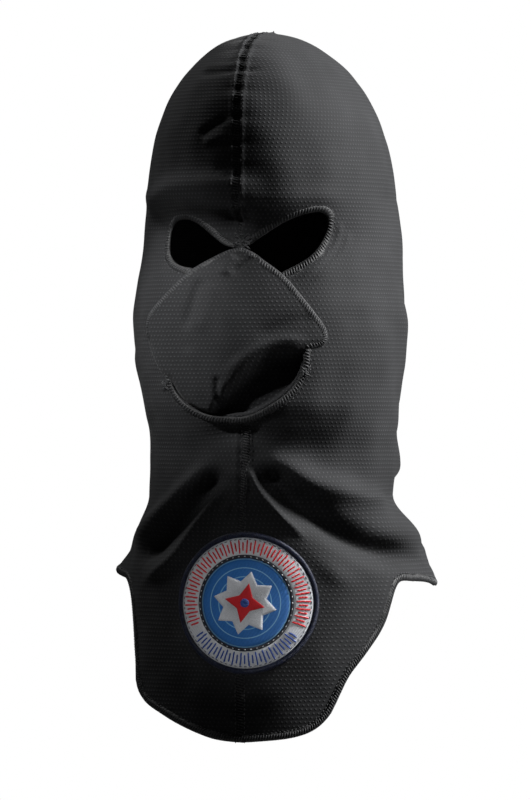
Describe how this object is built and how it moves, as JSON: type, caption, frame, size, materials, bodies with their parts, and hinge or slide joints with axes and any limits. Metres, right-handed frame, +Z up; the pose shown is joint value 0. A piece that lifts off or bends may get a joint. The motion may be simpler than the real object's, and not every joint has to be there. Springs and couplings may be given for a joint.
{
  "type": "balaclava",
  "caption": "Black knitted balaclava with shaped eye openings, a face flap that lifts from the mouth opening, a long front bib and a round sewn badge.",
  "frame": {"origin": "middle of the head inside the hood, at eye height", "axes": "+Z up along the head, the face looks towards -Y, +X is the wearer's left"},
  "size_m": [0.19, 0.2066, 0.4251],
  "materials": {
    "knit": "matte warp knit, near black",
    "lining": "matte fine knit, near black",
    "overlock_thread": "matte bulked thread",
    "flatlock_thread": "matte thread",
    "tack_thread": "matte thread",
    "badge_felt": "matte felt, navy",
    "badge_border_thread": "satin thread, navy",
    "badge_white_thread": "satin thread, white",
    "badge_dark_thread": "satin thread, dark",
    "badge_blue_thread": "satin thread, blue",
    "badge_red_thread": "satin thread, red",
    "badge_hub_thread": "satin thread, dark blue",
    "label_ribbon": "satin ribbon, off-white and blank"
  },
  "bodies": {
    "hood": {"hood_left_panel": "knit", "hood_right_panel": "knit", "hood_left_lining": "lining", "hood_right_lining": "lining", "forehead_seam": "flatlock_thread", "back_seam": "flatlock_thread", "chin_seam": "flatlock_thread", "eye_edge_left": "overlock_thread", "eye_edge_right": "overlock_thread", "mouth_edge": "overlock_thread", "bib_hem_edge": "overlock_thread", "neck_hem_edge": "overlock_thread", "bridge_tack": "tack_thread", "mouth_tack_left": "tack_thread", "mouth_tack_right": "tack_thread", "badge_backing": "badge_felt", "badge_border": "badge_border_thread", "badge_outer_ring": "badge_white_thread", "badge_tick_ring": "badge_dark_thread", "badge_field": "badge_blue_thread", "badge_star": "badge_white_thread", "badge_needle": "badge_red_thread", "badge_hub": "badge_hub_thread", "badge_stitches": "badge_border_thread", "care_label": "label_ribbon", "care_label_stitch": "overlock_thread"},
    "flap": {"flap_panel": "knit", "flap_lining": "lining", "flap_edge_left": "overlock_thread", "flap_edge_right": "overlock_thread", "flap_tail_edge": "overlock_thread"}
  },
  "joints": [
    {"name": "flap_lift", "type": "hinge", "parent": "hood", "child": "flap", "pos_m": [0.001, -0.0842, -0.002], "axis": [-1, 0, 0], "range_deg": [0, 150]}
  ]
}
